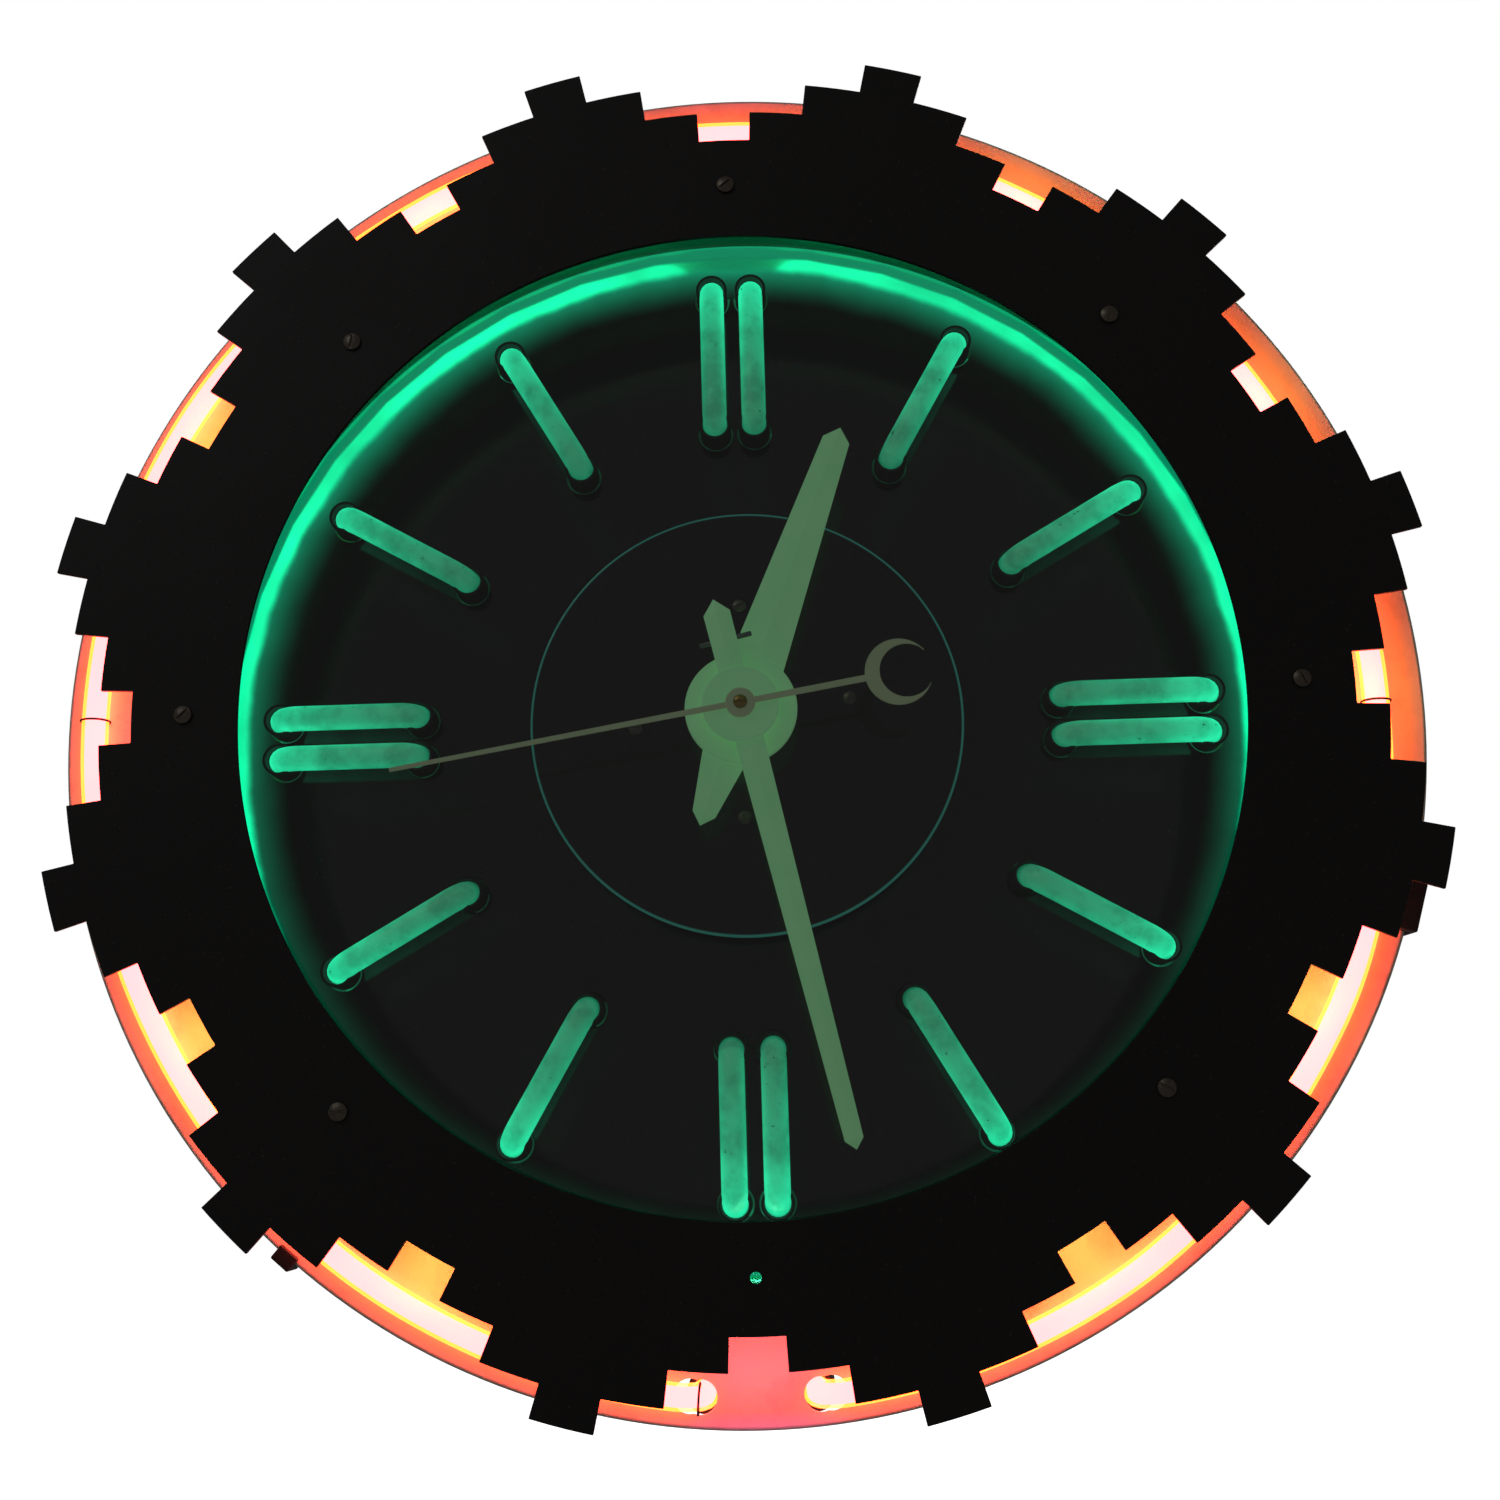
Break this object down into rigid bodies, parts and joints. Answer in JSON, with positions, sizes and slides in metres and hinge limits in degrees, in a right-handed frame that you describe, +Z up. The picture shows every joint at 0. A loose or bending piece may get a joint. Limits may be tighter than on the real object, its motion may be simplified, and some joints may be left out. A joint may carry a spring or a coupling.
{
  "type": "service station advertising clock",
  "caption": "Round wall clock with a stepped tyre-tread fascia, red neon ring behind the teeth, green neon ring round a black dial, tube markers and three turning hands.",
  "frame": {"origin": "centre of the back cover's outer face, the plane that lies against the wall, on the axis of the hands", "axes": "+Z up towards twelve o'clock, +X towards three o'clock as the dial is read, +Y out of the back into the wall; the dial faces -Y"},
  "size_m": [0.696, 0.1665, 0.696],
  "materials": {
    "matt_black_paint": "matt black paint on steel sheet",
    "rubber": "black rubber",
    "clear_glass": "clear polished sheet glass",
    "screw_steel": "dull plated steel",
    "white_enamel": "white enamel paint",
    "galvanised_steel": "galvanised sheet",
    "black_enamel": "black stove enamel",
    "black_moulding": "black phenolic moulding",
    "black_glass": "gloss black back-painted glass",
    "red_neon_tube": "lit neon tube, red-orange with a near-white core",
    "green_neon_tube": "lit coated neon tube, green",
    "marker_tube": "coated glass tube, pale green with dark specks",
    "brass": "turned brass",
    "die_cast_zinc": "die-cast zinc",
    "hand_paint": "pale mint paint on folded aluminium sheet"
  },
  "bodies": {
    "clock_case": {"back_cover": "galvanised_steel", "cable_gland": "black_enamel", "case_drum": "white_enamel", "centre_bush": "brass", "centre_disc": "black_glass", "cover_screw_1": "screw_steel", "cover_screw_2": "screw_steel", "cover_screw_3": "screw_steel", "cover_screw_4": "screw_steel", "dial_nut": "brass", "dial_plate": "black_glass", "dial_support_ring": "galvanised_steel", "disc_pillar_1": "screw_steel", "disc_pillar_2": "screw_steel", "disc_pillar_3": "screw_steel", "disc_pillar_4": "screw_steel", "disc_screw_1": "screw_steel", "disc_screw_2": "screw_steel", "disc_screw_3": "screw_steel", "disc_screw_4": "screw_steel", "fascia_plate": "matt_black_paint", "fascia_screw_1": "screw_steel", "fascia_screw_2": "screw_steel", "fascia_screw_3": "screw_steel", "fascia_screw_4": "screw_steel", "fascia_screw_5": "screw_steel", "fascia_screw_6": "screw_steel", "fascia_screw_7": "screw_steel", "front_glass": "clear_glass", "gear_case": "die_cast_zinc", "glass_gasket": "rubber", "glass_retaining_ring": "matt_black_paint", "green_ring_tube": "green_neon_tube", "marker_tubes_12_to_2": "marker_tube", "marker_tubes_3_to_5": "marker_tube", "marker_tubes_6_to_8": "marker_tube", "marker_tubes_9_to_11": "marker_tube", "movement_frame": "brass", "red_electrode_boot_left": "rubber", "red_electrode_boot_right": "rubber", "red_ring_tube": "red_neon_tube", "reflector_pan": "white_enamel", "rim_bracket_right": "black_moulding", "rim_clip_left": "black_moulding", "synchronous_motor": "black_enamel", "terminal_block": "black_moulding", "transformer_green": "black_enamel", "transformer_red": "black_enamel"},
    "minute_train": {"minute_hand": "hand_paint", "minute_tail_rod": "die_cast_zinc", "minute_arbor": "brass"},
    "hour_train": {"hour_hand": "hand_paint", "hour_pipe": "brass"},
    "setting_train": {"minute_wheel": "brass", "setting_arbor": "screw_steel", "setting_knob": "black_moulding"},
    "second_train": {"second_hand": "hand_paint", "seconds_arbor": "screw_steel", "hand_screw": "brass"}
  },
  "joints": [
    {"name": "minute_turn", "type": "hinge", "parent": "clock_case", "child": "minute_train", "pos_m": [0, 0, 0], "axis": [0, 1, 0], "continuous": true},
    {"name": "hour_turn", "type": "hinge", "parent": "clock_case", "child": "hour_train", "pos_m": [0, 0, 0], "axis": [0, 1, 0], "continuous": true},
    {"name": "setting_turn", "type": "hinge", "parent": "clock_case", "child": "setting_train", "pos_m": [0, 0, -0.0243], "axis": [0, 1, 0], "continuous": true},
    {"name": "second_turn", "type": "hinge", "parent": "clock_case", "child": "second_train", "pos_m": [0, 0, 0], "axis": [0, 1, 0], "continuous": true}
  ],
  "couplings": [
    {"joint": "hour_turn", "follows": "minute_turn", "ratio": 0.083333},
    {"joint": "setting_turn", "follows": "minute_turn", "ratio": -0.33333}
  ]
}
